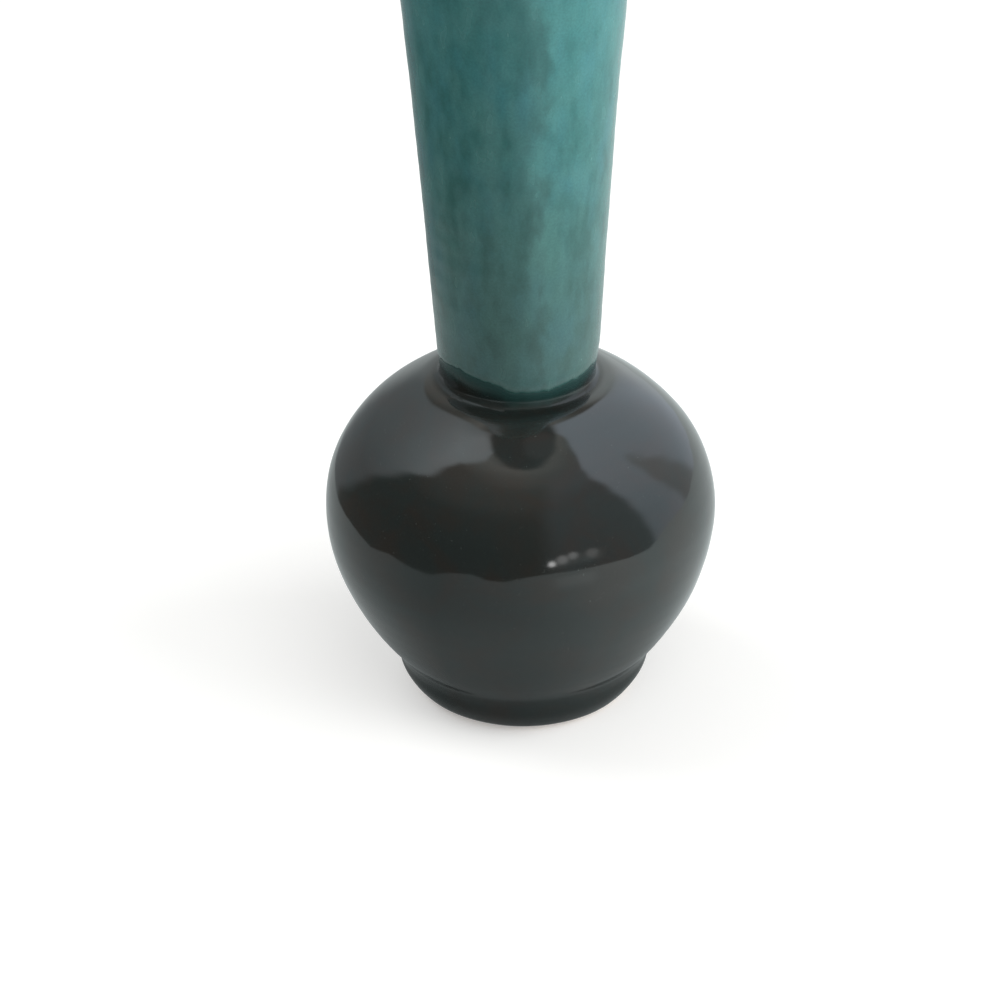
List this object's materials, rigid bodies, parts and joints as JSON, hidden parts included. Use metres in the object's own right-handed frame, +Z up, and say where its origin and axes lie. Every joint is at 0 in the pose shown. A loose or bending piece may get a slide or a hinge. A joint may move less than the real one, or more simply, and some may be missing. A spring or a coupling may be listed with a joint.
{
  "type": "bud vase",
  "caption": "Bottle-shaped stoneware bud vase: round dark-glazed globe on a turned foot ring, tall tapering neck in mottled teal glaze, gently opened mouth.",
  "frame": {"origin": "centre of the foot ring's bearing face, on the surface that the vase stands on", "axes": "+Z up along the axis of revolution; -Y is the side that faces the picture's camera, +X is to its right"},
  "size_m": [0.096, 0.096, 0.203],
  "materials": {
    "stoneware_clay": "unglazed, fired stoneware, matt",
    "joining_slip": "fired slip, matt",
    "dark_glaze": "glossy charcoal glaze with a blue-green cast",
    "teal_glaze": "satin mottled teal glaze with vertical streaks",
    "liner_glaze": "glossy dark green-grey liner glaze"
  },
  "bodies": {
    "root": {"body": "stoneware_clay", "neck": "stoneware_clay", "foot_ring": "stoneware_clay", "neck_lute": "joining_slip", "foot_lute": "joining_slip", "body_glaze": "dark_glaze", "neck_glaze": "teal_glaze", "liner_glaze": "liner_glaze"}
  },
  "joints": []
}
